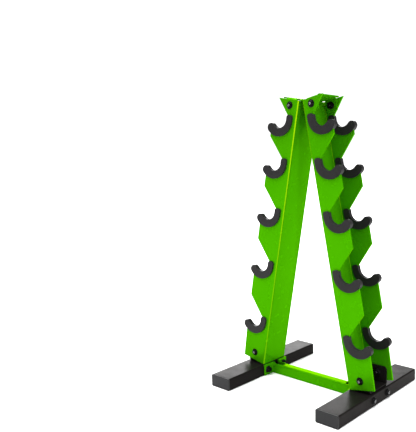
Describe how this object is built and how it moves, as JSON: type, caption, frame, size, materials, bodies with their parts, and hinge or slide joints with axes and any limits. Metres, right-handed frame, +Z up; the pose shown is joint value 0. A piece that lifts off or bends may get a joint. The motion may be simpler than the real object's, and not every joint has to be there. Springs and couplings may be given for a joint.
{
  "type": "dumbbell rack",
  "caption": "Freestanding A-frame dumbbell rack with green saw-tooth uprights, black cradle pads and black box-section feet",
  "frame": {"origin": "on the floor, midway between the two feet and midway from front to rear", "axes": "+X to the right across the rack, +Y from front to rear, +Z up"},
  "size_m": [0.4024, 0.335, 0.699],
  "materials": {
    "green_coat": "smooth satin powder coat",
    "black_coat": "fine satin powder coat",
    "cap_plastic": "fine-grained moulded plastic",
    "pad_plastic": "fine-grained moulded plastic, soft sheen",
    "black_steel": "black oxide, semi-gloss"
  },
  "bodies": {
    "root": {"upright_left": "green_coat", "foot_left": "black_coat", "foot_bracket_left": "black_coat", "foot_cap_left_front": "cap_plastic", "cradle_pad_left_front_1": "pad_plastic", "cradle_pad_left_front_2": "pad_plastic", "cradle_pad_left_front_3": "pad_plastic", "cradle_pad_left_front_4": "pad_plastic", "cradle_pad_left_front_5": "pad_plastic", "screw_top_left_front": "black_steel", "nut_top_left_front": "black_steel", "screw_foot_left_front": "black_steel", "nut_foot_left_front": "black_steel", "screw_bar_left_front": "black_steel", "nut_bar_left_front": "black_steel", "foot_cap_left_rear": "cap_plastic", "cradle_pad_left_rear_1": "pad_plastic", "cradle_pad_left_rear_2": "pad_plastic", "cradle_pad_left_rear_3": "pad_plastic", "cradle_pad_left_rear_4": "pad_plastic", "cradle_pad_left_rear_5": "pad_plastic", "screw_top_left_rear": "black_steel", "nut_top_left_rear": "black_steel", "screw_foot_left_rear": "black_steel", "nut_foot_left_rear": "black_steel", "screw_bar_left_rear": "black_steel", "nut_bar_left_rear": "black_steel", "upright_right": "green_coat", "foot_right": "black_coat", "foot_bracket_right": "black_coat", "foot_cap_right_front": "cap_plastic", "cradle_pad_right_front_1": "pad_plastic", "cradle_pad_right_front_2": "pad_plastic", "cradle_pad_right_front_3": "pad_plastic", "cradle_pad_right_front_4": "pad_plastic", "cradle_pad_right_front_5": "pad_plastic", "screw_top_right_front": "black_steel", "nut_top_right_front": "black_steel", "screw_foot_right_front": "black_steel", "nut_foot_right_front": "black_steel", "screw_bar_right_front": "black_steel", "nut_bar_right_front": "black_steel", "foot_cap_right_rear": "cap_plastic", "cradle_pad_right_rear_1": "pad_plastic", "cradle_pad_right_rear_2": "pad_plastic", "cradle_pad_right_rear_3": "pad_plastic", "cradle_pad_right_rear_4": "pad_plastic", "cradle_pad_right_rear_5": "pad_plastic", "screw_top_right_rear": "black_steel", "nut_top_right_rear": "black_steel", "screw_foot_right_rear": "black_steel", "nut_foot_right_rear": "black_steel", "screw_bar_right_rear": "black_steel", "nut_bar_right_rear": "black_steel", "top_bracket": "green_coat", "crossbar": "green_coat"}
  },
  "joints": []
}
